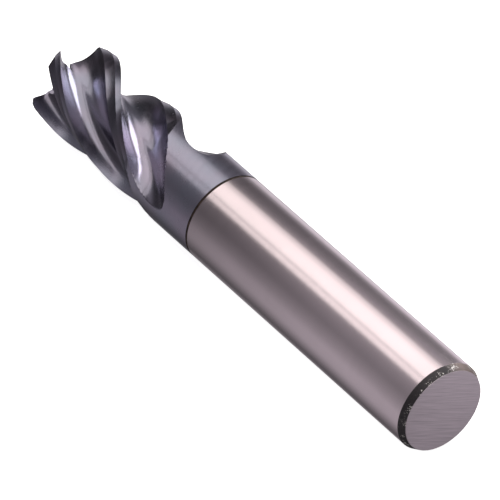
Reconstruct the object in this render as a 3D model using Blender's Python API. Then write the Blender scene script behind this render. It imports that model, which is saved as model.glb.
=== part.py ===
"""End mill with a brazed cutting head: a fluted, coated carbide head, the braze that holds it, and a ground shank.

The tool lies along X with the origin at the centre of the shank's end face: +X points out of that face, and
the cutting tip is at -X. A station is a distance from the shank's end face towards the tip. An angle around
the tool starts at +Z and grows towards +Y, which is clockwise for someone who looks from the shank to the
tip, the way that the tool turns when it cuts.
"""

import math

import bmesh
import bpy
from mathutils import Vector

MM = 0.001

# Overall sizes.
OVERALL_LENGTH = 75.0 * MM
SHANK_DIAMETER = 12.0 * MM
SHANK_LENGTH = 42.5 * MM
CUTTING_DIAMETER = 12.0 * MM

# Shank: a chamfer at the free end, and a socket at the other that takes the head's spigot.
CHAMFER_LENGTH = 1.0 * MM
CHAMFER_DEPTH = 0.45 * MM
SPIGOT_DIAMETER = 5.4 * MM
SPIGOT_LENGTH = 11.0 * MM
SPIGOT_CHAMFER = 0.5 * MM
BRAZE_THICKNESS = 0.3 * MM
SOCKET_END_ROOM = 0.8 * MM
FIT_GAP = 0.3 * MM

# Flutes: their length along the tool, and the section square to it. The teeth stand at unequal angles from
# each other, which keeps a cutter from chattering, and each spacing runs from one cutting edge to the next.
TOOTH_SPACINGS = tuple(math.radians(degrees) for degrees in (90, 102, 78, 90))
HELIX_ANGLE = math.radians(36.5)
TIP_EDGE_ANGLE = math.radians(77.0)
FLUTE_LENGTH = 27.3 * MM
RUNOUT_LENGTH = 8.4 * MM
RUNOUT_POWER = 1.4
CORE_DIAMETER = 5.8 * MM
RAKE_ANGLE = math.radians(8.0)
FLOOR_RADIUS = 1.8 * MM
BACK_ANGLE = math.radians(36.0)
PRIMARY_LAND = 0.9 * MM
PRIMARY_RELIEF = math.radians(12.0)
SECONDARY_LAND = 1.5 * MM
SECONDARY_RELIEF = math.radians(32.0)
NECK_TAPER = 2.0 * MM
CORNER_CHAMFER = 0.5 * MM

# End teeth: relief behind each end edge, the dish towards the middle, and the gash in front of the edge.
END_RELIEF = math.radians(7.0)
END_DISH = math.radians(2.0)
GASH_SLOPE = math.radians(25.0)
GASH_OPENING = math.radians(20.0)
GASH_START_DEPTH = 0.35 * MM
GASH_BITE = 0.06 * MM
LONG_GASH_START = 0.15 * MM
SHORT_GASH_START = 0.9 * MM

# How finely the curved faces are divided.
ROUND_SIDES = 64
FLOOR_STEPS = 5
CORE_STEP = math.radians(15.0)
BACK_STEPS = 5
RUNOUT_STEPS = 12
STATION_STEP = 1.1 * MM
CUTTER_OVERSHOOT = 2.0 * MM

# Worked out from the sizes above.
SHANK_RADIUS = SHANK_DIAMETER / 2
CUTTING_RADIUS = CUTTING_DIAMETER / 2
CORE_RADIUS = CORE_DIAMETER / 2
SPIGOT_RADIUS = SPIGOT_DIAMETER / 2
BRAZE_INNER_RADIUS = SPIGOT_RADIUS + FIT_GAP
BRAZE_OUTER_RADIUS = BRAZE_INNER_RADIUS + BRAZE_THICKNESS
SOCKET_RADIUS = BRAZE_OUTER_RADIUS + FIT_GAP
SHOULDER_STATION = SHANK_LENGTH + FIT_GAP
SPIGOT_END_STATION = SHOULDER_STATION - SPIGOT_LENGTH
SOCKET_END_STATION = SPIGOT_END_STATION - SOCKET_END_ROOM
NECK_END_STATION = OVERALL_LENGTH - FLUTE_LENGTH
FULL_DEPTH_STATION = NECK_END_STATION + RUNOUT_LENGTH
FLUTE_LEAD = math.pi * CUTTING_DIAMETER / math.tan(HELIX_ANGLE)
TOOTH_ANGLES = [sum(TOOTH_SPACINGS[:tooth]) for tooth in range(len(TOOTH_SPACINGS))]


def place(radius, angle, station):
    """The point at this distance from the tool's axis, this far round and this far from the shank's end."""
    return Vector((-station, radius * math.sin(angle), radius * math.cos(angle)))


def clear_scene():
    for found in list(bpy.data.objects):
        bpy.data.objects.remove(found, do_unlink=True)


def make_material(name, colour, metallic, roughness):
    material = bpy.data.materials.new(name)
    material.use_nodes = True
    shader = material.node_tree.nodes["Principled BSDF"]
    shader.inputs["Base Color"].default_value = (*colour, 1.0)
    shader.inputs["Metallic"].default_value = metallic
    shader.inputs["Roughness"].default_value = roughness
    return material


def make_object(name, shape, material=None, sharp_angle=math.radians(25)):
    """An object whose mesh is this bmesh, with its faces turned outwards and its round faces smooth."""
    bmesh.ops.recalc_face_normals(shape, faces=shape.faces)
    mesh = bpy.data.meshes.new(name)
    shape.to_mesh(mesh)
    shape.free()
    mesh.shade_smooth()
    mesh.set_sharp_from_angle(angle=sharp_angle)
    made = bpy.data.objects.new(name, mesh)
    bpy.context.scene.collection.objects.link(made)
    if material:
        mesh.materials.append(material)
    return made


def make_turned(name, profile, material):
    """A turned piece: the closed outline, as (station, radius) pairs, spun once about the tool's axis."""
    shape = bmesh.new()
    corners = [shape.verts.new(place(radius, 0, station)) for station, radius in profile]
    outline = [shape.edges.new((a, b)) for a, b in zip(corners, corners[1:])]
    if min(radius for _, radius in profile) > 0:
        outline.append(shape.edges.new((corners[-1], corners[0])))
    bmesh.ops.spin(
        shape,
        geom=corners + outline,
        cent=(0, 0, 0),
        axis=(1, 0, 0),
        angle=math.tau,
        steps=ROUND_SIDES,
        use_merge=True,
    )
    bmesh.ops.remove_doubles(shape, verts=shape.verts, dist=MM / 1000)
    return make_object(name, shape, material)


def make_shank():
    end_radius = SHANK_RADIUS - CHAMFER_DEPTH
    profile = [
        (0, 0),
        (0, end_radius),
        (CHAMFER_LENGTH, SHANK_RADIUS),
        (SHANK_LENGTH, SHANK_RADIUS),
        (SHANK_LENGTH, SOCKET_RADIUS),
        (SOCKET_END_STATION, SOCKET_RADIUS),
        (SOCKET_END_STATION, 0),
    ]
    return make_turned("shank", profile, make_material("ground_shank_steel", (0.42, 0.39, 0.40), 1.0, 0.35))


def make_braze():
    """The sleeve of filler metal between the spigot and the socket."""
    profile = [
        (SPIGOT_END_STATION, BRAZE_INNER_RADIUS),
        (SPIGOT_END_STATION, BRAZE_OUTER_RADIUS),
        (SHANK_LENGTH, BRAZE_OUTER_RADIUS),
        (SHANK_LENGTH, BRAZE_INNER_RADIUS),
    ]
    return make_turned("braze_joint", profile, make_material("silver_braze", (0.25, 0.19, 0.14), 1.0, 0.5))


def arc(centre, radius, start, end, steps):
    """Points on an arc, without its first and with its last."""
    angles = [start + (end - start) * step / steps for step in range(1, steps + 1)]
    return [centre + radius * Vector((math.cos(a), math.sin(a))) for a in angles]


def tooth_section(spacing):
    """One tooth space square to the axis, as (radius, angle) pairs from a cutting edge to the next one ahead.

    It is drawn in the plane whose first axis points out through the cutting edge, and whose second points
    the way that the tooth cuts: the rake face runs in from the edge, the floor's arc turns on to the core,
    a wide space follows the core for a while, the back rises to the next tooth's heel, and two relief lands
    lead up to that tooth's edge.
    """
    edge = Vector((CUTTING_RADIUS, 0))
    outwards = Vector((math.cos(RAKE_ANGLE), math.sin(RAKE_ANGLE)))
    forwards = Vector((-math.sin(RAKE_ANGLE), math.cos(RAKE_ANGLE)))
    beside = edge + FLOOR_RADIUS * forwards
    along = beside.dot(outwards)
    reach = CORE_RADIUS + FLOOR_RADIUS
    rake_length = along - math.sqrt(along**2 - beside.length_squared + reach**2)
    floor_centre = beside - rake_length * outwards
    rake_foot = floor_centre - FLOOR_RADIUS * forwards
    core_angle = math.atan2(floor_centre.y, floor_centre.x)
    start = math.atan2(rake_foot.y - floor_centre.y, rake_foot.x - floor_centre.x)
    floor = arc(floor_centre, FLOOR_RADIUS, start % math.tau, core_angle + math.pi, FLOOR_STEPS)

    radial = Vector((math.cos(spacing), math.sin(spacing)))
    backwards = Vector((math.sin(spacing), -math.cos(spacing)))
    next_edge = CUTTING_RADIUS * radial
    land_start = next_edge + PRIMARY_LAND * (
        math.cos(PRIMARY_RELIEF) * backwards - math.sin(PRIMARY_RELIEF) * radial
    )
    heel = land_start + SECONDARY_LAND * (
        math.cos(SECONDARY_RELIEF) * backwards - math.sin(SECONDARY_RELIEF) * radial
    )

    touch_angle = max(core_angle, math.atan2(heel.y, heel.x) - BACK_ANGLE)
    core_steps = math.ceil((touch_angle - core_angle) / CORE_STEP)
    core = arc(Vector((0, 0)), CORE_RADIUS, core_angle, touch_angle, core_steps)
    touch = (floor + core)[-1]
    rise = (heel - touch).dot(touch.normalized())
    bow = (heel - touch).length_squared / (2 * rise)
    back_centre = touch + bow * touch.normalized()
    back_start = math.atan2(touch.y - back_centre.y, touch.x - back_centre.x) % math.tau
    back_end = math.atan2(heel.y - back_centre.y, heel.x - back_centre.x) % math.tau
    back = arc(back_centre, bow, back_start, back_end, BACK_STEPS)

    corners = [edge, (edge + rake_foot) / 2, rake_foot, *floor, *core, *back, land_start]
    return [(corner.length, math.atan2(corner.y, corner.x)) for corner in corners]


def edge_angle(station):
    """Where the first cutting edge is at this station: it follows a right-hand helix."""
    return TIP_EDGE_ANGLE - math.tau * (OVERALL_LENGTH - station) / FLUTE_LEAD


def whole_section():
    """All the tooth spaces in one ring of (radius, angle, even angle), with angles from the first edge.

    The even angle is where a point stands once the flutes have run out and the section is a circle.
    """
    ring = []
    for start, spacing in zip(TOOTH_ANGLES, TOOTH_SPACINGS):
        corners = tooth_section(spacing)
        for index, (radius, angle) in enumerate(corners):
            ring.append((radius, start + angle, start + spacing * index / len(corners)))
    return ring


def fluted_ring(station, section):
    """The points around the head at one station, where the flutes may be running out into the neck.

    The grinding wheel lifts out of the flutes there, so their floor rises, slowly at first, and nothing
    rises past the neck. The points also spread evenly, so that the last ring is a circle. At the tip, the
    section draws in to chamfer the corners of the teeth.
    """
    left = min(max((FULL_DEPTH_STATION - station) / RUNOUT_LENGTH, 0), 1)
    lift = (SHANK_RADIUS - CORE_RADIUS) * left**RUNOUT_POWER
    taper = min(max((station - NECK_END_STATION) / NECK_TAPER, 0), 1)
    limit = SHANK_RADIUS + (CUTTING_RADIUS - SHANK_RADIUS) * taper
    spread = math.sqrt(left)
    chamfer = max(station - (OVERALL_LENGTH - CORNER_CHAMFER), 0)
    turned = edge_angle(station)
    ring = []
    for radius, angle, even in section:
        lifted = limit if left == 1 else min(radius + lift, limit) - chamfer
        ring.append(place(lifted, turned + angle + (even - angle) * spread, station))
    return ring


def round_ring(station, radius, section):
    """A circle whose points line up with those of the neck's last fluted ring."""
    turned = edge_angle(NECK_END_STATION)
    return [place(radius, turned + even, station) for _, _, even in section]


def head_stations():
    runout = [NECK_END_STATION + RUNOUT_LENGTH * step / RUNOUT_STEPS for step in range(RUNOUT_STEPS)]
    full_length = OVERALL_LENGTH - CORNER_CHAMFER - FULL_DEPTH_STATION
    steps = math.ceil(full_length / STATION_STEP)
    full_depth = [FULL_DEPTH_STATION + full_length * step / steps for step in range(steps + 1)]
    return runout + full_depth + [OVERALL_LENGTH]


def end_former(reach):
    """A cutter over the tip whose lower face is a ring of ramps: each rises to one tooth's end edge."""
    shape = bmesh.new()
    middle = shape.verts.new(place(0, 0, OVERALL_LENGTH - CUTTING_RADIUS * math.tan(END_DISH)))
    rim_station = OVERALL_LENGTH + (reach - CUTTING_RADIUS) * math.tan(END_DISH)
    top_station = rim_station + CUTTER_OVERSHOOT
    high, low, top = [], [], []
    for start, spacing in zip(TOOTH_ANGLES, TOOTH_SPACINGS):
        angle = TIP_EDGE_ANGLE + start
        drop = reach * math.tan(END_RELIEF) * math.sin(spacing)
        high.append(shape.verts.new(place(reach, angle, rim_station)))
        low.append(shape.verts.new(place(reach, angle, rim_station - drop)))
        top.append(shape.verts.new(place(reach, angle, top_station)))
    for tooth in range(len(high)):
        behind = tooth - 1
        shape.faces.new((middle, high[tooth], low[behind]))
        shape.faces.new((middle, low[tooth], high[tooth]))
        shape.faces.new((high[tooth], top[tooth], top[behind], high[behind], low[behind]))
    shape.faces.new(top)
    return make_object("end_former", shape)


def gash_cutter(tooth):
    """A wedge in front of one end edge, which opens the end face into the flute and sharpens that edge."""
    angle = TIP_EDGE_ANGLE + TOOTH_ANGLES[tooth]
    outwards = place(1, angle, 0)
    forwards = place(1, angle + math.pi / 2, 0)
    towards_tip = Vector((-1, 0, 0))
    shape = bmesh.new()
    ends = []
    for reach in (LONG_GASH_START if tooth % 2 == 0 else SHORT_GASH_START, CUTTING_RADIUS + CUTTER_OVERSHOOT):
        floor = OVERALL_LENGTH - GASH_START_DEPTH - reach * math.tan(GASH_SLOPE)
        height = OVERALL_LENGTH + CUTTER_OVERSHOOT - floor
        base = outwards * reach + towards_tip * floor - forwards * GASH_BITE
        corners = (base, base + towards_tip * height)
        slanted = base + towards_tip * height + forwards * height * math.tan(GASH_OPENING)
        ends.append([shape.verts.new(corner) for corner in (*corners, slanted)])
    shape.faces.new(ends[0])
    shape.faces.new(ends[1])
    for index in range(3):
        following = (index + 1) % 3
        shape.faces.new((ends[0][index], ends[0][following], ends[1][following], ends[1][index]))
    return make_object(f"gash_cutter_{tooth + 1}", shape)


def cut(target, cutter):
    """Takes the cutter's shape out of the target, and keeps the cutter as a hidden helper."""
    cutter.hide_render = True
    cutter.display_type = "WIRE"
    modifier = target.modifiers.new(cutter.name, "BOOLEAN")
    modifier.operation = "DIFFERENCE"
    modifier.solver = "EXACT"
    modifier.object = cutter


def make_head():
    section = whole_section()
    rings = [
        round_ring(SPIGOT_END_STATION, SPIGOT_RADIUS - SPIGOT_CHAMFER, section),
        round_ring(SPIGOT_END_STATION + SPIGOT_CHAMFER, SPIGOT_RADIUS, section),
        round_ring(SHOULDER_STATION, SPIGOT_RADIUS, section),
        round_ring(SHOULDER_STATION, SHANK_RADIUS, section),
    ]
    rings += [fluted_ring(station, section) for station in head_stations()]
    shape = bmesh.new()
    loops = [[shape.verts.new(point) for point in ring] for ring in rings]
    for lower, upper in zip(loops, loops[1:]):
        for index in range(len(lower)):
            following = (index + 1) % len(lower)
            shape.faces.new((lower[index], lower[following], upper[following], upper[index]))
    shape.faces.new(loops[0])
    shape.faces.new(loops[-1])
    bmesh.ops.triangulate(shape, faces=shape.faces)
    head = make_object("cutting_head", shape, make_material("coated_carbide", (0.10, 0.10, 0.13), 0.9, 0.3))
    cut(head, end_former(CUTTING_RADIUS + CUTTER_OVERSHOOT))
    for tooth in range(len(TOOTH_ANGLES)):
        cut(head, gash_cutter(tooth))
    return head


def main():
    clear_scene()
    tool = bpy.data.objects.new("end_mill", None)
    bpy.context.scene.collection.objects.link(tool)
    for piece in (make_shank(), make_braze(), make_head()):
        piece.parent = tool


main()
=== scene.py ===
"""Visual model of an end mill: a coated fluted head, the braze that holds it and a ground shank, in a pale studio.

The tool lies along X: the shank's end face is at X = 0 and faces +X, and the cutting tip is at -X. A station
is a distance from the shank's end face towards the tip. An angle around the tool starts at +Z and grows
towards +Y.
"""

import math

import bmesh
import bpy
from bpy.props import FloatProperty, FloatVectorProperty, PointerProperty
from mathutils import Matrix, Vector


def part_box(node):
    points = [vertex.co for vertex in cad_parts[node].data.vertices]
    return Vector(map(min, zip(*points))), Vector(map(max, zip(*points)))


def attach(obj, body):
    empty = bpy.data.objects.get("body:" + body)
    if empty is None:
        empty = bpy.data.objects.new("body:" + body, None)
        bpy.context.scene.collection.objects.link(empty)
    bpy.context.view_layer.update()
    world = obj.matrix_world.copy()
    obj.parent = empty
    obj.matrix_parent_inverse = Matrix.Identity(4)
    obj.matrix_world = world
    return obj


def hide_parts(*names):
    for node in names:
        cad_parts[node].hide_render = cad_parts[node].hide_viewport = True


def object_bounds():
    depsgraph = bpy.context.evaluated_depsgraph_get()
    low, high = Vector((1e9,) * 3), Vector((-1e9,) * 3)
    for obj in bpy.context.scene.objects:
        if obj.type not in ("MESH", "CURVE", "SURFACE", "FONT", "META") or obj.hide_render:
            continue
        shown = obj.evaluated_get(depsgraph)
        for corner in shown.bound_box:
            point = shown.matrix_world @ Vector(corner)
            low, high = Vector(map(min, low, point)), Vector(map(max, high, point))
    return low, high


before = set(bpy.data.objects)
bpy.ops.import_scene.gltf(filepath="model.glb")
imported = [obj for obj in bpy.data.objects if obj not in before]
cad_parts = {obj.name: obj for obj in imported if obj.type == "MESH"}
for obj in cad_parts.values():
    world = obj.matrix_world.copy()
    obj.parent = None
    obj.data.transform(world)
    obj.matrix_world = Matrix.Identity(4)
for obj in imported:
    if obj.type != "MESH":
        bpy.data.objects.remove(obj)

bl_info = {
    "name": "End mill",
    "version": (1, 0, 0),
    "blender": (4, 5, 0),
    "location": "View3D > Sidebar > End mill",
    "description": "Builds a four-tooth end mill with a coated head, a brazed joint and a ground shank",
    "category": "Add Mesh",
}

MM = 0.001
BODY = "root"
CAD_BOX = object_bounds()
SHANK_LOW, SHANK_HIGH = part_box("shank")
HEAD_LOW, HEAD_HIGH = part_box("cutting_head")
BRAZE_LOW, BRAZE_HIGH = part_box("braze_joint")

# The joint: the braze's inside and outside walls stand this far from the spigot and the socket in the frame,
# and the same gap parts the head's shoulder from the shank. The braze fills all of it here.
FIT_GAP = 0.3 * MM
BRAZE_THICKNESS = 0.3 * MM
SOCKET_RADIUS = BRAZE_HIGH.z + FIT_GAP
SPIGOT_RADIUS = BRAZE_HIGH.z - BRAZE_THICKNESS - FIT_GAP
SPIGOT_END_STATION = -HEAD_HIGH.x
SPIGOT_CHAMFER = 0.5 * MM
SOCKET_END_ROOM = 0.8 * MM
JOINT_STATION = -SHANK_LOW.x
SHOULDER_STATION = JOINT_STATION + FIT_GAP

# How finely the curved faces are divided.
ROUND_SIDES = 256
CORNER_STEPS = 4
FLUTE_RINGS = 260
RAKE_STEPS = 5
FLOOR_STEPS = 14
CORE_STEP = math.radians(4)
BACK_STEPS = 12
SECONDARY_LAND_STEPS = 6
PRIMARY_LAND_STEPS = 3
FLOOR_SIDES = 96

# Points closer than this are one point, and faces that meet at more than these angles meet at a crisp edge.
MERGE_DISTANCE = MM / 2000
SHARP_ANGLE = math.radians(30)
HEAD_SHARP_ANGLE = math.radians(9)

# How far the cutters that shape the tip reach past it.
CUTTER_OVERSHOOT = 2.0 * MM

# How far the grinding marks on the end face lean from level.
MARKS_TURN = math.radians(-28)

# Each soft box's name, its first and last angle around the tool's axis, in degrees, and its brightness.
SOFT_BOXES = [("narrow_soft_box", -25, -11, 1.05), ("wide_soft_box", -8, 30, 1.25), ("far_soft_box", 30, 42, 0.85)]
SOFT_BOX_COLOUR = "fffaf2"
SOFT_BOX_LENGTH = 3.0

# A light that only the teeth's fronts mirror: its middle, its size and its brightness.
SIDE_BOX_PLACE = (-0.2, 0.8, 0.5)
SIDE_BOX_SIZE = (0.42, 0.75)
SIDE_BOX_COLOUR = "ffffff"
SIDE_BOX_BRIGHTNESS = 4.4

# The studio's brightness at each angle around the tool's axis, in degrees.
SURROUND = [
    (-180, 0.08), (-160, 0.2), (-135, 0.46), (-110, 0.5), (-90, 0.36), (-63, 0.24), (-36, 0.32), (0, 0.3),
    (50, 0.3), (68, 0.17), (84, 0.13), (97, 0.3), (114, 0.9), (146, 0.45), (180, 0.08),
]

# How much of that brightness there is towards each share of the tool's length direction, from -X to +X.
SURROUND_ALONG = [
    (-1, 0.2), (-0.75, 0.3), (-0.62, 1.0), (-0.5, 1.0), (-0.38, 0.5), (-0.15, 0.3), (0.2, 0.4), (0.5, 1.1), (1, 0.8),
]
SURROUND_COLOUR = "fff9ff"
TABLE_GLOW = 1.0

CAMERA_SENSOR_WIDTH = 36.0
CAMERA_CLIP_END = 20.0


def linear(hex_code):
    """The linear colour of an sRGB hex code such as "8a8c90"."""
    shares = [int(hex_code[start : start + 2], 16) / 255 for start in (0, 2, 4)]
    return [share / 12.92 if share <= 0.04045 else ((share + 0.055) / 1.055) ** 2.4 for share in shares]


def length(name, description, default):
    return FloatProperty(
        name=name, description=description, default=default, min=0, precision=5, subtype="DISTANCE", unit="LENGTH"
    )


def angle(name, description, degrees):
    return FloatProperty(
        name=name, description=description, default=math.radians(degrees), subtype="ANGLE", unit="ROTATION"
    )


def number(name, description, default):
    return FloatProperty(name=name, description=description, default=default, min=0)


def colour(name, description, hex_code):
    return FloatVectorProperty(
        name=name, description=description, default=linear(hex_code), size=3, min=0, max=1, subtype="COLOR"
    )


class HeadSettings(bpy.types.PropertyGroup):
    """Sizes and colours of the fluted head."""

    overall_length: length("Overall length", "From the shank's end face to the tip", -HEAD_LOW.x)
    cutting_diameter: length("Cutting diameter", "Across the cutting edges", SHANK_HIGH.y - SHANK_LOW.y)
    neck_diameter: length("Neck diameter", "The coated band next to the joint", SHANK_HIGH.y - SHANK_LOW.y)
    flute_length: length("Flute length", "Flutes and their run-out", 27.3 * MM)
    runout_length: length("Run-out length", "Where the flutes rise to the surface", 8.4 * MM)
    runout_power: number("Run-out power", "1 is a straight rise, more starts gently", 1.4)
    neck_taper: length("Neck taper", "Where the neck passes into the cutting diameter", 2.0 * MM)
    corner_chamfer: length("Corner chamfer", "At the outer corners of the teeth", 0.5 * MM)
    tooth_spacings: FloatVectorProperty(
        name="Tooth spacings",
        description="From each cutting edge to the next",
        default=[math.radians(degrees) for degrees in (90, 102, 78, 90)],
        size=4,
        subtype="EULER",
        unit="ROTATION",
    )
    tip_edge_angle: angle("Tip edge angle", "Where the first edge meets the tip", 77)
    helix_angle: angle("Helix angle", "Of the cutting edges", 36.5)
    core_diameter: length("Core diameter", "Across the floors of the flutes", 5.8 * MM)
    rake_angle: angle("Rake angle", "How far the tooth's front leans back", 8)
    floor_radius: length("Floor radius", "Of the flute's floor", 1.8 * MM)
    back_angle: angle("Back angle", "How much of the section the tooth's back takes", 36)
    primary_land: length("Primary land", "The narrow strip behind the edge", 0.9 * MM)
    primary_relief: angle("Primary relief", "The slope of the primary land", 12)
    secondary_land: length("Secondary land", "The strip behind the primary land", 1.5 * MM)
    secondary_relief: angle("Secondary relief", "The slope of the secondary land", 32)
    end_relief: angle("End relief", "The slope behind each end edge", 7)
    end_dish: angle("End dish", "How far the end edges fall towards the middle", 2)
    gash_slope: angle("Gash slope", "How steeply a gash deepens outwards", 25)
    gash_opening: angle("Gash opening", "The angle of a gash's wedge", 20)
    gash_start_depth: length("Gash start depth", "Under the tip", 0.35 * MM)
    gash_bite: length("Gash bite", "How far a gash cuts into its tooth", 0.06 * MM)
    long_gash_start: length("Long gash start", "From the axis, on every other tooth", 0.15 * MM)
    short_gash_start: length("Short gash start", "From the axis, on the teeth between", 0.9 * MM)
    coat_colour: colour("Coat colour", "The dark nitride coat", "8a8d9c")
    coat_tint: colour("Coat tint", "The coat where it is thinner", "978f9f")


class BrazeSettings(bpy.types.PropertyGroup):
    """Sizes and colours of the brazed joint."""

    recess: length("Recess", "How far the joint line lies under the surface", 0.04 * MM)
    braze_colour: colour("Braze colour", "Tarnished silver braze", "4a3a32")
    scorch_colour: colour("Scorch colour", "Burnt flux in the joint line", "1c1614")


class ShankSettings(bpy.types.PropertyGroup):
    """Sizes and colours of the ground shank."""

    diameter: length("Diameter", "Of the ground shank", SHANK_HIGH.y - SHANK_LOW.y)
    chamfer_length: length("Chamfer length", "Along the tool", 1.0 * MM)
    chamfer_depth: length("Chamfer depth", "Across the tool", 0.45 * MM)
    edge_round: length("Edge round", "The worn edges of the chamfer", 0.06 * MM)
    steel_colour: colour("Ground colour", "The ground cylinder", "e2d4da")
    end_colour: colour("End face colour", "The ground end face", "e0d4dc")
    skin_colour: colour("Skin colour", "The rough skin on the chamfer", "423f42")
    # Painted light: the skin's colour on its lit +Y side, paler because of how the light falls there, not because of
    # wear.
    lit_side_skin_colour: colour("Worn skin colour", "Where the skin has rubbed", "8d7f7c")
    chip_colour: colour("Chip colour", "Bright chips in the skin", "e6e2e0")


class StageSettings(bpy.types.PropertyGroup):
    """The floor, the lights and the camera."""

    floor_colour: colour("Floor colour", "A pale matt floor", "f4f4f4")
    floor_size: length("Floor size", "Across the floor", 6.0)
    camera_azimuth: angle("Camera azimuth", "0 looks along +Y, 90 looks along -X", 53.32)
    camera_elevation: angle("Camera elevation", "Above the horizon", 41.37)
    camera_distance: length("Camera distance", "From the middle of the tool", 0.92581)
    aim_station: length("Aim station", "The station in the middle of the view", 36.70 * MM)
    aim_left: length("Aim left", "How far left of the axis the view is centred", 0.696 * MM)
    aim_below: length("Aim below", "How far under the axis the view is centred", 0.635 * MM)
    camera_lens: number("Lens", "Focal length in millimetres", 556.04)
    box_height: length("Light height", "Of the soft boxes over the tool", 0.9)
    box_brightness: number("Light brightness", "Of the soft boxes", 1.0)
    surround_brightness: number("Surround brightness", "Of the studio around the tool", 1.0)


def add_node(tree, kind, settings=(), inputs=(), name=None):
    """Adds a node, sets its settings, and gives each of its inputs a value or a link."""
    node = tree.nodes.new(kind)
    node.name = name or node.name
    for setting, value in dict(settings).items():
        setattr(node, setting, value)
    for socket, value in dict(inputs).items():
        if isinstance(value, bpy.types.NodeSocket):
            tree.links.new(value, node.inputs[socket])
        else:
            node.inputs[socket].default_value = value
    return node


def place(radius, turn, station):
    """The point at this distance from the tool's axis, this far round and this far from the shank's end."""
    return Vector((-station, radius * math.sin(turn), radius * math.cos(turn)))


def make_object(name, mesh, materials, sharp_angle):
    """A smooth object at the origin, crisp where its faces meet at more than the sharp angle."""
    mesh.shade_smooth()
    mesh.set_sharp_from_angle(angle=sharp_angle)
    made = bpy.data.objects.new(name, mesh)
    bpy.context.scene.collection.objects.link(made)
    for material in materials:
        if material.name not in mesh.materials:
            mesh.materials.append(material)
    return made


def mesh_from(shape, name):
    """The mesh of a bmesh, with its doubles merged and its faces turned outwards."""
    bmesh.ops.remove_doubles(shape, verts=shape.verts, dist=MERGE_DISTANCE)
    bmesh.ops.recalc_face_normals(shape, faces=shape.faces)
    mesh = bpy.data.meshes.new(name)
    shape.to_mesh(mesh)
    shape.free()
    return mesh


def turned(profile, sides, slot_of=lambda station, radius: 0):
    """A bmesh turned from a closed outline of (station, radius) pairs, whose ends meet or lie on the axis.

    slot_of gives the material slot of a face from the station and radius of its middle.
    """
    shape = bmesh.new()
    rings = []
    for station, radius in profile:
        turns = [math.tau * side / sides for side in range(sides)] if radius > 0 else [0]
        rings.append([shape.verts.new(place(radius, turn, station)) for turn in turns])
    pairs = list(zip(rings, rings[1:], profile, profile[1:]))
    if profile[0][1] > 0:
        pairs.append((rings[-1], rings[0], profile[-1], profile[0]))
    for lower, upper, before, after in pairs:
        slot = slot_of((before[0] + after[0]) / 2, (before[1] + after[1]) / 2)
        for side in range(sides):
            following = (side + 1) % sides
            corners = [lower[side % len(lower)], lower[following % len(lower)]]
            corners += [upper[following % len(upper)], upper[side % len(upper)]]
            face = shape.faces.new(list(dict.fromkeys(corners)))
            face.material_index = slot
    return shape


def rounded(corners, radius):
    """The outline of (station, radius) corners with each inner corner rounded by this radius."""
    points = [Vector(corner) for corner in corners]
    outline = [points[0]]
    for before, corner, after in zip(points, points[1:], points[2:]):
        towards, onwards = (before - corner).normalized(), (after - corner).normalized()
        half = towards.angle(onwards) / 2
        trim = radius / math.tan(half)
        centre = corner + (towards + onwards).normalized() * radius / math.sin(half)
        first, last = corner + towards * trim - centre, corner + onwards * trim - centre
        turn = first.angle_signed(last)
        turns = [-turn * step / CORNER_STEPS for step in range(CORNER_STEPS + 1)]
        outline += [centre + Matrix.Rotation(partly, 2) @ first for partly in turns]
    return [tuple(point) for point in (*outline, points[-1])]


def arc(centre, radius, start, end, steps):
    """Points on an arc, without its first and with its last."""
    turns = [start + (end - start) * step / steps for step in range(1, steps + 1)]
    return [centre + radius * Vector((math.cos(turn), math.sin(turn))) for turn in turns]


def straight(start, end, steps):
    """Points on a line, without its first and with its last."""
    return [start + (end - start) * step / steps for step in range(1, steps + 1)]


def tooth_section(head, spacing):
    """One tooth space square to the axis, from a cutting edge to the next one ahead.

    It is drawn in the plane whose first axis points out through the cutting edge, and whose second points
    the way that the tooth cuts: the rake face runs in from the edge, the floor's arc turns on to the core,
    a wide space follows the core for a while, the back rises to the next tooth's heel, and two relief lands
    lead up to that tooth's edge.
    """
    rim, core_radius = head.cutting_diameter / 2, head.core_diameter / 2
    edge = Vector((rim, 0))
    outwards = Vector((math.cos(head.rake_angle), math.sin(head.rake_angle)))
    forwards = Vector((-outwards.y, outwards.x))
    beside = edge + head.floor_radius * forwards
    along = beside.dot(outwards)
    reach = core_radius + head.floor_radius
    rake_length = along - math.sqrt(along**2 - beside.length_squared + reach**2)
    floor_centre = beside - rake_length * outwards
    rake_foot = floor_centre - head.floor_radius * forwards
    core_turn = math.atan2(floor_centre.y, floor_centre.x)
    start = math.atan2(rake_foot.y - floor_centre.y, rake_foot.x - floor_centre.x) % math.tau
    floor = arc(floor_centre, head.floor_radius, start, core_turn + math.pi, FLOOR_STEPS)

    radial = Vector((math.cos(spacing), math.sin(spacing)))
    backwards = Vector((radial.y, -radial.x))

    def behind(point, distance, relief):
        return point + distance * (math.cos(relief) * backwards - math.sin(relief) * radial)

    next_edge = rim * radial
    land_start = behind(next_edge, head.primary_land, head.primary_relief)
    heel = behind(land_start, head.secondary_land, head.secondary_relief)

    touch_turn = max(core_turn, math.atan2(heel.y, heel.x) - head.back_angle)
    core_steps = math.ceil((touch_turn - core_turn) / CORE_STEP)
    core = arc(Vector((0, 0)), core_radius, core_turn, touch_turn, core_steps)
    touch = (floor + core)[-1]
    rise = (heel - touch).dot(touch.normalized())
    bow = (heel - touch).length_squared / (2 * rise)
    back_centre = touch + bow * touch.normalized()
    back_start = math.atan2(touch.y - back_centre.y, touch.x - back_centre.x) % math.tau
    back_end = math.atan2(heel.y - back_centre.y, heel.x - back_centre.x) % math.tau
    back = arc(back_centre, bow, back_start, back_end, BACK_STEPS)
    rake = straight(edge, rake_foot, RAKE_STEPS)
    secondary = straight(heel, land_start, SECONDARY_LAND_STEPS)
    primary = straight(land_start, next_edge, PRIMARY_LAND_STEPS)
    return [edge, *rake, *floor, *core, *back, *secondary, *primary[:-1]]


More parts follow.
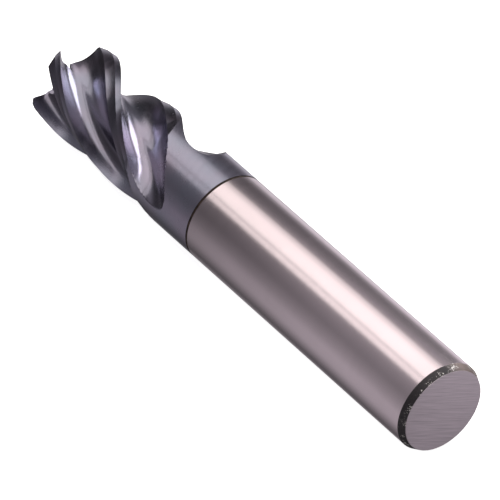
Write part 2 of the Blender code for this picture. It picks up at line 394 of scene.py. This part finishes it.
def section_mesh(head):
    """All the tooth spaces as one line of points that ends where it starts, at station 0.

    Each point also keeps how far round the outline it is, for the grinding marks, and how far it has to turn
    to stand evenly among its tooth space's points, for the run-out.
    """
    points, shifts, start = [], [], 0
    for spacing in head.tooth_spacings:
        corners = tooth_section(head, spacing)
        for index, corner in enumerate(corners):
            turn = math.atan2(corner.y, corner.x)
            points.append(place(corner.length, start + turn, 0))
            shifts.append(spacing * index / len(corners) - turn)
        start += spacing
    points.append(points[0])
    shifts.append(shifts[0])
    around = [0]
    for before, after in zip(points, points[1:]):
        around.append(around[-1] + (after - before).length)
    mesh = bpy.data.meshes.new("flute_section")
    mesh.from_pydata(points, [(index, index + 1) for index in range(len(points) - 1)], [])
    mesh.attributes.new("around", "FLOAT", "POINT").data.foreach_set("value", around)
    mesh.attributes.new("shift", "FLOAT", "POINT").data.foreach_set("value", shifts)
    return mesh


def flute_tree(material):
    """Geometry Nodes that lay the section at each station: turned by the helix, lifted in the run-out,
    held inside the neck, and drawn in at the tip."""
    tree = bpy.data.node_groups.new("fluted_sweep", "GeometryNodeTree")
    face = tree.interface
    face.new_socket("Section", in_out="INPUT", socket_type="NodeSocketGeometry")
    face.new_socket("Rings", in_out="INPUT", socket_type="NodeSocketInt")
    for name in (
        "First Station", "Overall Length", "Tip Edge Angle", "Lead", "Neck End", "Run-out Length",
        "Run-out Power", "Lift", "Neck Radius", "Cutting Radius", "Neck Taper", "Corner Chamfer",
    ):
        face.new_socket(name, in_out="INPUT", socket_type="NodeSocketFloat")
    face.new_socket("Head", in_out="OUTPUT", socket_type="NodeSocketGeometry")
    given = add_node(tree, "NodeGroupInput").outputs

    def math_of(operation, first, second=0.0, clamp=False):
        settings = {"operation": operation, "use_clamp": clamp}
        return add_node(tree, "ShaderNodeMath", settings, {0: first, 1: second}).outputs[0]

    counted = add_node(tree, "GeometryNodeAttributeDomainSize", {}, {"Geometry": given["Section"]})
    grid = add_node(
        tree, "GeometryNodeMeshGrid", {}, {"Vertices X": counted.outputs["Point Count"], "Vertices Y": given["Rings"]}
    )
    index = add_node(tree, "GeometryNodeInputIndex").outputs[0]
    column = math_of("FLOOR", math_of("DIVIDE", math_of("ADD", index, 0.5), given["Rings"]))
    row = math_of("SUBTRACT", index, math_of("MULTIPLY", column, given["Rings"]))
    share = math_of("DIVIDE", row, math_of("SUBTRACT", given["Rings"], 1.0))
    reach = math_of("SUBTRACT", given["Overall Length"], given["First Station"])
    station = math_of("ADD", given["First Station"], math_of("MULTIPLY", share, reach))

    place_here = add_node(tree, "GeometryNodeInputPosition").outputs[0]
    corner = add_node(
        tree,
        "GeometryNodeSampleIndex",
        {"data_type": "FLOAT_VECTOR", "domain": "POINT"},
        {"Geometry": given["Section"], "Value": place_here, "Index": column},
    ).outputs["Value"]

    def section_value(name):
        stored = add_node(tree, "GeometryNodeInputNamedAttribute", {"data_type": "FLOAT"}, {"Name": name})
        return add_node(
            tree,
            "GeometryNodeSampleIndex",
            {"data_type": "FLOAT", "domain": "POINT"},
            {"Geometry": given["Section"], "Value": stored.outputs["Attribute"], "Index": column},
        ).outputs["Value"]

    around, shift = section_value("around"), section_value("shift")

    size = add_node(tree, "ShaderNodeVectorMath", {"operation": "LENGTH"}, {0: corner}).outputs["Value"]
    full_depth = math_of("ADD", given["Neck End"], given["Run-out Length"])
    left = math_of("DIVIDE", math_of("SUBTRACT", full_depth, station), given["Run-out Length"], clamp=True)
    lift = math_of("MULTIPLY", given["Lift"], math_of("POWER", left, given["Run-out Power"]))
    taper = math_of("DIVIDE", math_of("SUBTRACT", station, given["Neck End"]), given["Neck Taper"], clamp=True)
    growth = math_of("SUBTRACT", given["Cutting Radius"], given["Neck Radius"])
    limit = math_of("ADD", given["Neck Radius"], math_of("MULTIPLY", growth, taper))
    chamfer_start = math_of("SUBTRACT", given["Overall Length"], given["Corner Chamfer"])
    chamfer = math_of("MAXIMUM", math_of("SUBTRACT", station, chamfer_start), 0.0)
    radius = math_of("SUBTRACT", math_of("MINIMUM", math_of("ADD", size, lift), limit), chamfer)
    outwards = add_node(tree, "ShaderNodeVectorMath", {"operation": "NORMALIZE"}, {0: corner}).outputs[0]
    spoke = add_node(tree, "ShaderNodeVectorMath", {"operation": "SCALE"}, {0: outwards, "Scale": radius}).outputs[0]
    along = add_node(tree, "ShaderNodeCombineXYZ", {}, {"X": math_of("MULTIPLY", station, -1.0)}).outputs[0]
    there = add_node(tree, "ShaderNodeVectorMath", {"operation": "ADD"}, {0: spoke, 1: along}).outputs[0]
    to_tip = math_of("SUBTRACT", given["Overall Length"], station)
    helix = math_of("MULTIPLY", math_of("DIVIDE", to_tip, given["Lead"]), math.tau)
    spread = math_of("MULTIPLY", shift, left)
    turn = math_of("SUBTRACT", math_of("SUBTRACT", helix, given["Tip Edge Angle"]), spread)
    turned_there = add_node(
        tree, "ShaderNodeVectorRotate", {"rotation_type": "X_AXIS"}, {"Vector": there, "Angle": turn}
    ).outputs[0]
    moved = add_node(
        tree, "GeometryNodeSetPosition", {}, {"Geometry": grid.outputs["Mesh"], "Position": turned_there}
    ).outputs[0]
    marks = add_node(tree, "ShaderNodeCombineXYZ", {}, {"X": around, "Y": station}).outputs[0]
    mapped = add_node(
        tree,
        "GeometryNodeStoreNamedAttribute",
        {"data_type": "FLOAT2", "domain": "CORNER"},
        {"Geometry": moved, "Name": "along_flute", "Value": marks},
    ).outputs[0]
    merged = add_node(
        tree, "GeometryNodeMergeByDistance", {}, {"Geometry": mapped, "Distance": MERGE_DISTANCE}
    ).outputs[0]
    real = add_node(tree, "GeometryNodeRealizeInstances", {}, {"Geometry": merged}).outputs[0]
    finished = add_node(tree, "GeometryNodeSetMaterial", {}, {"Geometry": real, "Material": material}).outputs[0]
    add_node(tree, "NodeGroupOutput", {}, {"Head": finished})
    return tree


def plain_mesh(made):
    """The evaluated mesh of an object, which is then removed with its modifiers."""
    graph = bpy.context.evaluated_depsgraph_get()
    mesh = bpy.data.meshes.new_from_object(made.evaluated_get(graph), depsgraph=graph)
    bpy.data.objects.remove(made, do_unlink=True)
    return mesh


def swept_head(head, material):
    """The fluted head before its end is ground, from its shoulder to the tip."""
    source = bpy.data.objects.new("flute_section", section_mesh(head))
    bpy.context.scene.collection.objects.link(source)
    modifier = source.modifiers.new("fluted_sweep", "NODES")
    modifier.node_group = flute_tree(material)
    values = {
        "Rings": FLUTE_RINGS,
        "First Station": SHOULDER_STATION,
        "Overall Length": head.overall_length,
        "Tip Edge Angle": head.tip_edge_angle,
        "Lead": math.pi * head.cutting_diameter / math.tan(head.helix_angle),
        "Neck End": head.overall_length - head.flute_length,
        "Run-out Length": head.runout_length,
        "Run-out Power": head.runout_power,
        "Lift": (head.neck_diameter - head.core_diameter) / 2,
        "Neck Radius": head.neck_diameter / 2,
        "Cutting Radius": head.cutting_diameter / 2,
        "Neck Taper": head.neck_taper,
        "Corner Chamfer": head.corner_chamfer,
    }
    for item in modifier.node_group.interface.items_tree:
        if item.name in values:
            modifier[item.identifier] = values[item.name]
    return plain_mesh(source)


def end_former(head, reach):
    """A cutter over the tip whose lower face is a ring of ramps: each rises to one tooth's end edge."""
    rim = head.cutting_diameter / 2
    shape = bmesh.new()
    middle = shape.verts.new(place(0, 0, head.overall_length - rim * math.tan(head.end_dish)))
    rim_station = head.overall_length + (reach - rim) * math.tan(head.end_dish)
    top_station = rim_station + CUTTER_OVERSHOOT
    high, low, top, turn = [], [], [], head.tip_edge_angle
    for spacing in head.tooth_spacings:
        drop = reach * math.tan(head.end_relief) * math.sin(spacing)
        high.append(shape.verts.new(place(reach, turn, rim_station)))
        low.append(shape.verts.new(place(reach, turn, rim_station - drop)))
        top.append(shape.verts.new(place(reach, turn, top_station)))
        turn += spacing
    for tooth in range(len(high)):
        behind = tooth - 1
        shape.faces.new((middle, high[tooth], low[behind]))
        shape.faces.new((middle, low[tooth], high[tooth]))
        shape.faces.new((high[tooth], top[tooth], top[behind], high[behind], low[behind]))
    shape.faces.new(top)
    return mesh_from(shape, "end_former")


def gash_cutter(head, turn, start):
    """A wedge in front of one end edge, which opens the end face into the flute and sharpens that edge."""
    outwards = place(1, turn, 0)
    forwards = place(1, turn + math.pi / 2, 0)
    towards_tip = Vector((-1, 0, 0))
    shape = bmesh.new()
    ends = []
    for reach in (start, head.cutting_diameter / 2 + CUTTER_OVERSHOOT):
        floor = head.overall_length - head.gash_start_depth - reach * math.tan(head.gash_slope)
        height = head.overall_length + CUTTER_OVERSHOOT - floor
        base = outwards * reach + towards_tip * floor - forwards * head.gash_bite
        corners = (base, base + towards_tip * height)
        slanted = base + towards_tip * height + forwards * height * math.tan(head.gash_opening)
        ends.append([shape.verts.new(corner) for corner in (*corners, slanted)])
    shape.faces.new(ends[0])
    shape.faces.new(ends[1])
    for index in range(3):
        following = (index + 1) % 3
        shape.faces.new((ends[0][index], ends[0][following], ends[1][following], ends[1][index]))
    return mesh_from(shape, "gash_cutter")


def closed(mesh):
    """The same mesh with a flat face over each of its open ends, and all its faces triangles."""
    shape = bmesh.new()
    shape.from_mesh(mesh)
    bmesh.ops.holes_fill(shape, edges=[edge for edge in shape.edges if edge.is_boundary], sides=0)
    bmesh.ops.triangulate(shape, faces=shape.faces)
    return mesh_from(shape, mesh.name)


def cut(mesh, cutters):
    """The mesh with the cutters' shapes taken out."""
    target = bpy.data.objects.new("target", mesh)
    bpy.context.scene.collection.objects.link(target)
    helpers = []
    for cutter in cutters:
        helper = bpy.data.objects.new(cutter.name, cutter)
        bpy.context.scene.collection.objects.link(helper)
        helpers.append(helper)
        modifier = target.modifiers.new(helper.name, "BOOLEAN")
        modifier.operation = "DIFFERENCE"
        modifier.solver = "EXACT"
        modifier.object = helper
    bpy.context.view_layer.update()
    mesh = plain_mesh(target)
    for helper in helpers:
        bpy.data.objects.remove(helper, do_unlink=True)
    return mesh


def coat_material(head):
    """Carbide ground with diamond wheels, then vapour-coated with titanium aluminium nitride.

    The coat is a few thousandths of a millimetre thick, so the wheel's marks show through it as fine streaks
    along the flutes. It reflects between a quarter and a third of the light, and looks slate grey with a violet
    cast.
    """
    material, tree, shader = new_material("nitride_coated_carbide")
    marks = add_node(tree, "ShaderNodeUVMap", {"uv_map": "along_flute"}).outputs[0]
    # Streaks are 0.03 mm wide on the real tool, and are drawn 0.12 mm wide and 4 mm long to show.
    streaks = noise(tree, marks, (1 / (0.12 * MM), 1 / (4 * MM), 1), 3)
    place_here = add_node(tree, "ShaderNodeTexCoord").outputs["Object"]
    clouds = noise(tree, place_here, (1 / (5 * MM),) * 3, 2)
    tinted = mix(tree, clouds, head.coat_colour, head.coat_tint)
    shader.inputs["Metallic"].default_value = 1.0
    tree.links.new(tinted, shader.inputs["Base Color"])
    tree.links.new(ranged(tree, streaks, 0.2, 0.28), shader.inputs["Roughness"])
    bump(tree, shader, streaks, 0.1, 0.004 * MM)
    return material


def braze_material(braze):
    """Silver braze that has run to the edge of the joint, dull and brown with burnt flux."""
    material, tree, shader = new_material("tarnished_silver_braze")
    place_here = add_node(tree, "ShaderNodeTexCoord").outputs["Object"]
    # Flux burns in patches about 0.6 mm wide.
    patches = noise(tree, place_here, (1 / (0.6 * MM),) * 3, 3)
    tree.links.new(mix(tree, patches, braze.scorch_colour, braze.braze_colour), shader.inputs["Base Color"])
    shader.inputs["Metallic"].default_value = 0.6
    shader.inputs["Roughness"].default_value = 0.6
    bump(tree, shader, patches, 0.4, 0.02 * MM)
    return material


def ground_material(shank):
    """Hardened steel, centreless ground: fine rings round the tool, which the eye sees as a satin."""
    material, tree, shader = new_material("centreless_ground_shank")
    place_here = add_node(tree, "ShaderNodeTexCoord").outputs["Object"]
    # The wheel's rings are 0.02 mm apart on the real tool, and are drawn 0.1 mm apart to show.
    rings = noise(tree, place_here, (1 / (0.1 * MM), 1 / (6 * MM), 1 / (6 * MM)), 3)
    clouds = noise(tree, place_here, (1 / (9 * MM), 1 / (4 * MM), 1 / (4 * MM)), 2)
    darker = [share * 0.95 for share in shank.steel_colour]
    tree.links.new(mix(tree, clouds, darker, shank.steel_colour), shader.inputs["Base Color"])
    shader.inputs["Metallic"].default_value = 1.0
    tree.links.new(ranged(tree, rings, 0.19, 0.24), shader.inputs["Roughness"])
    bump(tree, shader, rings, 0.04, 0.002 * MM)
    return material


def end_face_material(shank):
    """The same metal on the end face, surface ground with straight marks from side to side."""
    material, tree, shader = new_material("surface_ground_end_face")
    place_here = add_node(tree, "ShaderNodeTexCoord").outputs["Object"]
    # The marks are 0.03 mm apart on the real tool, and are drawn 0.15 mm apart to show.
    turned_marks = add_node(
        tree, "ShaderNodeMapping", {"vector_type": "TEXTURE"}, {"Vector": place_here, "Rotation": (MARKS_TURN, 0, 0)}
    ).outputs[0]
    marks = noise(tree, turned_marks, (1, 1 / (5 * MM), 1 / (0.15 * MM)), 3)
    darker = [share * 0.68 for share in shank.end_colour]
    tree.links.new(mix(tree, marks, darker, shank.end_colour), shader.inputs["Base Color"])
    shader.inputs["Metallic"].default_value = 1.0
    tree.links.new(ranged(tree, marks, 0.3, 0.45), shader.inputs["Roughness"])
    bump(tree, shader, marks, 0.3, 0.005 * MM)
    return material


def skin_material(shank):
    """The chamfer keeps the rough dark scale of the hardening furnace, chipped to bright metal in places."""
    material, tree, shader = new_material("hardening_scale")
    place_here = add_node(tree, "ShaderNodeTexCoord").outputs["Object"]
    # Grains and small chips are about 0.15 mm wide, and stand in patches about 1.5 mm wide.
    grains = noise(tree, place_here, (1 / (0.16 * MM),) * 3, 4)
    patches = noise(tree, place_here, (1 / (1.5 * MM),) * 3, 2)
    chips = ranged(tree, combine(tree, "MULTIPLY", grains, patches), 0.0, 1.0, 0.31, 0.4)
    # Painted light: the skin is drawn a paler brown towards +Y, the side the soft boxes light, as lit shading rather
    # than wear.
    side = add_node(tree, "ShaderNodeSeparateXYZ", {}, {"Vector": place_here}).outputs["Y"]
    lit_side_share = ranged(tree, side, 0.0, 1.0, -1 * MM, 5 * MM)
    skin = mix(tree, lit_side_share, shank.skin_colour, shank.lit_side_skin_colour)
    tree.links.new(mix(tree, chips, skin, shank.chip_colour), shader.inputs["Base Color"])
    shader.inputs["Metallic"].default_value = 0.8
    shader.inputs["Roughness"].default_value = 0.5
    bump(tree, shader, grains, 0.8, 0.05 * MM)
    return material


def new_material(name):
    """A new material, its node tree and its main shader."""
    material = bpy.data.materials.new(name)
    material.use_nodes = True
    return material, material.node_tree, material.node_tree.nodes["Principled BSDF"]


def noise(tree, coordinates, scales, detail):
    """Noise from 0 to 1, with its grain this many times to the metre along each axis."""
    scaled = add_node(tree, "ShaderNodeMapping", {}, {"Vector": coordinates, "Scale": scales}).outputs[0]
    return add_node(tree, "ShaderNodeTexNoise", {}, {"Vector": scaled, "Scale": 1.0, "Detail": detail}).outputs[0]


def combine(tree, operation, first, second):
    """The result of one operation on two values."""
    return add_node(tree, "ShaderNodeMath", {"operation": operation}, {0: first, 1: second}).outputs[0]


def ranged(tree, value, low, high, start=0.3, end=0.7):
    """The value carried from between start and end to between low and high."""
    inputs = {"Value": value, "From Min": start, "From Max": end, "To Min": low, "To Max": high}
    return add_node(tree, "ShaderNodeMapRange", {}, inputs).outputs[0]


def mix(tree, share, first, second):
    """The first colour where the share is 0.3 or less, passing to the second where it is 0.7 or more."""
    settings = {"data_type": "RGBA"}
    first, second = (shade if isinstance(shade, bpy.types.NodeSocket) else (*shade, 1.0) for shade in (first, second))
    inputs = {0: ranged(tree, share, 0.0, 1.0), 6: first, 7: second}
    return add_node(tree, "ShaderNodeMix", settings, inputs).outputs[2]


def bump(tree, shader, height, strength, distance):
    """Tilts the shader's surface as this height would, which goes from 0 to the distance."""
    inputs = {"Height": height, "Strength": strength, "Distance": distance}
    tree.links.new(add_node(tree, "ShaderNodeBump", {}, inputs).outputs[0], shader.inputs["Normal"])


class ENDMILL_OT_add_head(bpy.types.Operator):
    """Adds the fluted head with its spigot"""

    bl_idname = "endmill.add_head"
    bl_label = "Add head"

    def execute(self, context):
        head = context.scene.endmill_head
        material = coat_material(head)
        mesh = closed(swept_head(head, material))
        cutters = [end_former(head, head.cutting_diameter / 2 + CUTTER_OVERSHOOT)]
        turn = head.tip_edge_angle
        for tooth, spacing in enumerate(head.tooth_spacings):
            start = head.long_gash_start if tooth % 2 == 0 else head.short_gash_start
            cutters.append(gash_cutter(head, turn, start))
            turn += spacing
        shape = bmesh.new()
        shape.from_mesh(cut(mesh, cutters))
        spigot = mesh_from(turned(self.spigot_outline(), ROUND_SIDES), "spigot")
        shape.from_mesh(spigot)
        finished = mesh_from(shape, "fluted_head")
        made = make_object("fluted_head", finished, [material], HEAD_SHARP_ANGLE)
        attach(made, BODY)
        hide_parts("cutting_head")
        return {"FINISHED"}

    @staticmethod
    def spigot_outline():
        root = SHOULDER_STATION + SPIGOT_CHAMFER
        return [
            (SPIGOT_END_STATION, 0),
            (SPIGOT_END_STATION, SPIGOT_RADIUS - SPIGOT_CHAMFER),
            (SPIGOT_END_STATION + SPIGOT_CHAMFER, SPIGOT_RADIUS),
            (root, SPIGOT_RADIUS),
            (root, 0),
        ]


class ENDMILL_OT_add_braze(bpy.types.Operator):
    """Adds the braze between the spigot and the socket, and in the joint line"""

    bl_idname = "endmill.add_braze"
    bl_label = "Add braze"

    def execute(self, context):
        braze = context.scene.endmill_braze
        line_radius = SHANK_HIGH.z - braze.recess
        outline = [
            (SPIGOT_END_STATION, SPIGOT_RADIUS),
            (SPIGOT_END_STATION, SOCKET_RADIUS),
            (JOINT_STATION, SOCKET_RADIUS),
            (JOINT_STATION, line_radius),
            (SHOULDER_STATION, line_radius),
            (SHOULDER_STATION, SPIGOT_RADIUS),
        ]
        mesh = mesh_from(turned(outline, ROUND_SIDES), "braze")
        made = make_object("braze", mesh, [braze_material(braze)], SHARP_ANGLE)
        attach(made, BODY)
        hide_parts("braze_joint")
        return {"FINISHED"}


class ENDMILL_OT_add_shank(bpy.types.Operator):
    """Adds the ground shank with its chamfered end and its socket"""

    bl_idname = "endmill.add_shank"
    bl_label = "Add shank"

    def execute(self, context):
        shank = context.scene.endmill_shank
        rim = shank.diameter / 2
        socket_end = SPIGOT_END_STATION - SOCKET_END_ROOM
        corners = [
            (0, 0),
            (0, rim - shank.chamfer_depth),
            (shank.chamfer_length, rim),
            (JOINT_STATION, rim),
            (JOINT_STATION, SOCKET_RADIUS),
            (socket_end, SOCKET_RADIUS),
            (socket_end, 0),
        ]

        def slot_of(station, radius):
            if station <= shank.edge_round / 2:
                return 1
            return 2 if station < shank.chamfer_length else 0

        shape = turned(rounded(corners, shank.edge_round), ROUND_SIDES, slot_of)
        materials = [ground_material(shank), end_face_material(shank), skin_material(shank)]
        made = make_object("ground_shank", mesh_from(shape, "ground_shank"), materials, SHARP_ANGLE)
        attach(made, BODY)
        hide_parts("shank")
        return {"FINISHED"}


class ENDMILL_OT_add_stage(bpy.types.Operator):
    """Adds the floor, the studio around it, the soft boxes and the camera"""

    bl_idname = "endmill.add_stage"
    bl_label = "Add stage"

    def execute(self, context):
        stage = context.scene.endmill_stage
        context.scene.view_settings.view_transform = "Standard"
        self.add_floor(stage)
        self.add_surround(context, stage)
        for name, first, last, brightness in SOFT_BOXES:
            self.add_soft_box(stage, name, first, last, brightness)
        self.add_side_box(stage)
        self.add_camera(context, stage)
        return {"FINISHED"}

    @staticmethod
    def add_floor(stage):
        """A round white table that glows a little, as a light table does, and that the metal doesn't mirror."""
        shape = bmesh.new()
        bmesh.ops.create_circle(shape, cap_ends=True, segments=FLOOR_SIDES, radius=stage.floor_size / 2)
        for corner in shape.verts:
            corner.co.z = CAD_BOX[0].z
        material, tree, shader = new_material("white_light_table")
        shader.inputs["Base Color"].default_value = (*stage.floor_colour, 1.0)
        shader.inputs["Roughness"].default_value = 0.9
        shader.inputs["Emission Color"].default_value = (*stage.floor_colour, 1.0)
        shader.inputs["Emission Strength"].default_value = TABLE_GLOW
        floor = make_object("floor", mesh_from(shape, "floor"), [material], SHARP_ANGLE)
        floor.visible_glossy = False

    @staticmethod
    def ramp(tree, share, stops):
        """A brightness that passes smoothly through each stop's value at its position."""
        made = add_node(tree, "ShaderNodeValToRGB", {}, {"Fac": share})
        elements = made.color_ramp.elements
        while len(elements) < len(stops):
            elements.new(0.5)
        for element, (position, value) in zip(elements, stops):
            element.position = position
            element.color = (value, value, value, 1.0)
        return made.outputs[0]

    def add_surround(self, context, stage):
        """A studio whose brightness changes round the tool's axis, behind a white backdrop."""
        world = bpy.data.worlds.new("studio")
        world.use_nodes = True
        context.scene.world = world
        tree = world.node_tree
        tree.nodes.clear()
        direction = add_node(tree, "ShaderNodeTexCoord").outputs["Generated"]
        split = add_node(tree, "ShaderNodeSeparateXYZ", {}, {"Vector": direction}).outputs
        turn = combine(tree, "ARCTAN2", split["Y"], split["Z"])
        share = ranged(tree, turn, 0.0, 1.0, -math.pi, math.pi)
        round_tool = self.ramp(tree, share, [((degrees + 180) / 360, value) for degrees, value in SURROUND])
        along = ranged(tree, split["X"], 0.0, 1.0, -1.0, 1.0)
        along_tool = self.ramp(tree, along, [((reach + 1) / 2, value) for reach, value in SURROUND_ALONG])
        both_ways = combine(tree, "MULTIPLY", round_tool, along_tool)
        strength = combine(tree, "MULTIPLY", both_ways, stage.surround_brightness)
        around = add_node(
            tree, "ShaderNodeBackground", {}, {"Color": (*linear(SURROUND_COLOUR), 1.0), "Strength": strength}
        )
        backdrop = add_node(tree, "ShaderNodeBackground", {}, {"Color": (1, 1, 1, 1), "Strength": 1.0})
        seen = add_node(tree, "ShaderNodeLightPath").outputs["Is Camera Ray"]
        inputs = {0: seen, 1: around.outputs[0], 2: backdrop.outputs[0]}
        both = add_node(tree, "ShaderNodeMixShader", {}, inputs).outputs[0]
        add_node(tree, "ShaderNodeOutputWorld", {}, {"Surface": both})

    @staticmethod
    def add_light(stage, name, size, hex_code, brightness):
        """A flat light that is this bright all over, and that the camera can't see."""
        light = bpy.data.lights.new(name, "AREA")
        light.shape = "RECTANGLE"
        light.size, light.size_y = size
        light.energy = brightness * stage.box_brightness * math.pi * light.size * light.size_y
        light.color = linear(hex_code)
        box = bpy.data.objects.new(name, light)
        box.visible_camera = False
        bpy.context.scene.collection.objects.link(box)
        return box

    def add_soft_box(self, stage, name, first, last, brightness):
        """A long light over the tool, between two angles around its axis."""
        near, far = (stage.box_height * math.tan(math.radians(degrees)) for degrees in (first, last))
        box = self.add_light(stage, name, (SOFT_BOX_LENGTH, far - near), SOFT_BOX_COLOUR, brightness)
        box.location = (0, (near + far) / 2, stage.box_height)

    def add_side_box(self, stage):
        """A bright light beside the tool that faces it, mirrored only by the fronts of the teeth."""
        box = self.add_light(stage, "side_soft_box", SIDE_BOX_SIZE, SIDE_BOX_COLOUR, SIDE_BOX_BRIGHTNESS)
        middle = Vector(SIDE_BOX_PLACE)
        box.matrix_world = Matrix.Translation(middle) @ middle.to_track_quat("Z", "Y").to_matrix().to_4x4()

    @staticmethod
    def add_camera(context, stage):
        """A camera that looks down at the tool from its shank's end."""
        turn, rise = stage.camera_azimuth, stage.camera_elevation
        right = Vector((math.cos(turn), math.sin(turn), 0))
        back = Vector((math.sin(turn) * math.cos(rise), -math.cos(turn) * math.cos(rise), math.sin(rise)))
        up = back.cross(right)
        aim = Vector((-stage.aim_station, 0, 0)) - right * stage.aim_left - up * stage.aim_below
        camera = bpy.data.objects.new("camera", bpy.data.cameras.new("camera"))
        camera.data.lens = stage.camera_lens
        camera.data.sensor_width = CAMERA_SENSOR_WIDTH
        camera.data.clip_end = CAMERA_CLIP_END
        turned_to = Matrix((right, up, back)).transposed().to_4x4()
        camera.matrix_world = Matrix.Translation(aim + back * stage.camera_distance) @ turned_to
        context.scene.collection.objects.link(camera)
        context.scene.camera = camera


class ENDMILL_PT_panel(bpy.types.Panel):
    """The end mill's sizes, colours and pieces"""

    bl_idname = "ENDMILL_PT_panel"
    bl_label = "End mill"
    bl_space_type = "VIEW_3D"
    bl_region_type = "UI"
    bl_category = "End mill"

    def draw(self, context):
        for operator, settings in PIECES:
            box = self.layout.box()
            box.operator(operator.bl_idname)
            group = getattr(context.scene, settings)
            for name in group.__annotations__:
                box.prop(group, name)


SETTINGS = {
    "endmill_head": HeadSettings,
    "endmill_braze": BrazeSettings,
    "endmill_shank": ShankSettings,
    "endmill_stage": StageSettings,
}
PIECES = [
    (ENDMILL_OT_add_stage, "endmill_stage"),
    (ENDMILL_OT_add_head, "endmill_head"),
    (ENDMILL_OT_add_braze, "endmill_braze"),
    (ENDMILL_OT_add_shank, "endmill_shank"),
]
CLASSES = [*SETTINGS.values(), *(operator for operator, _ in PIECES), ENDMILL_PT_panel]


def register():
    for group in CLASSES:
        bpy.utils.register_class(group)
    for name, group in SETTINGS.items():
        setattr(bpy.types.Scene, name, PointerProperty(type=group))


def unregister():
    for name in SETTINGS:
        delattr(bpy.types.Scene, name)
    for group in reversed(CLASSES):
        bpy.utils.unregister_class(group)


def main():
    register()
    bpy.ops.endmill.add_stage()
    bpy.ops.endmill.add_head()
    bpy.ops.endmill.add_braze()
    bpy.ops.endmill.add_shank()


if __name__ == "__main__":
    main()
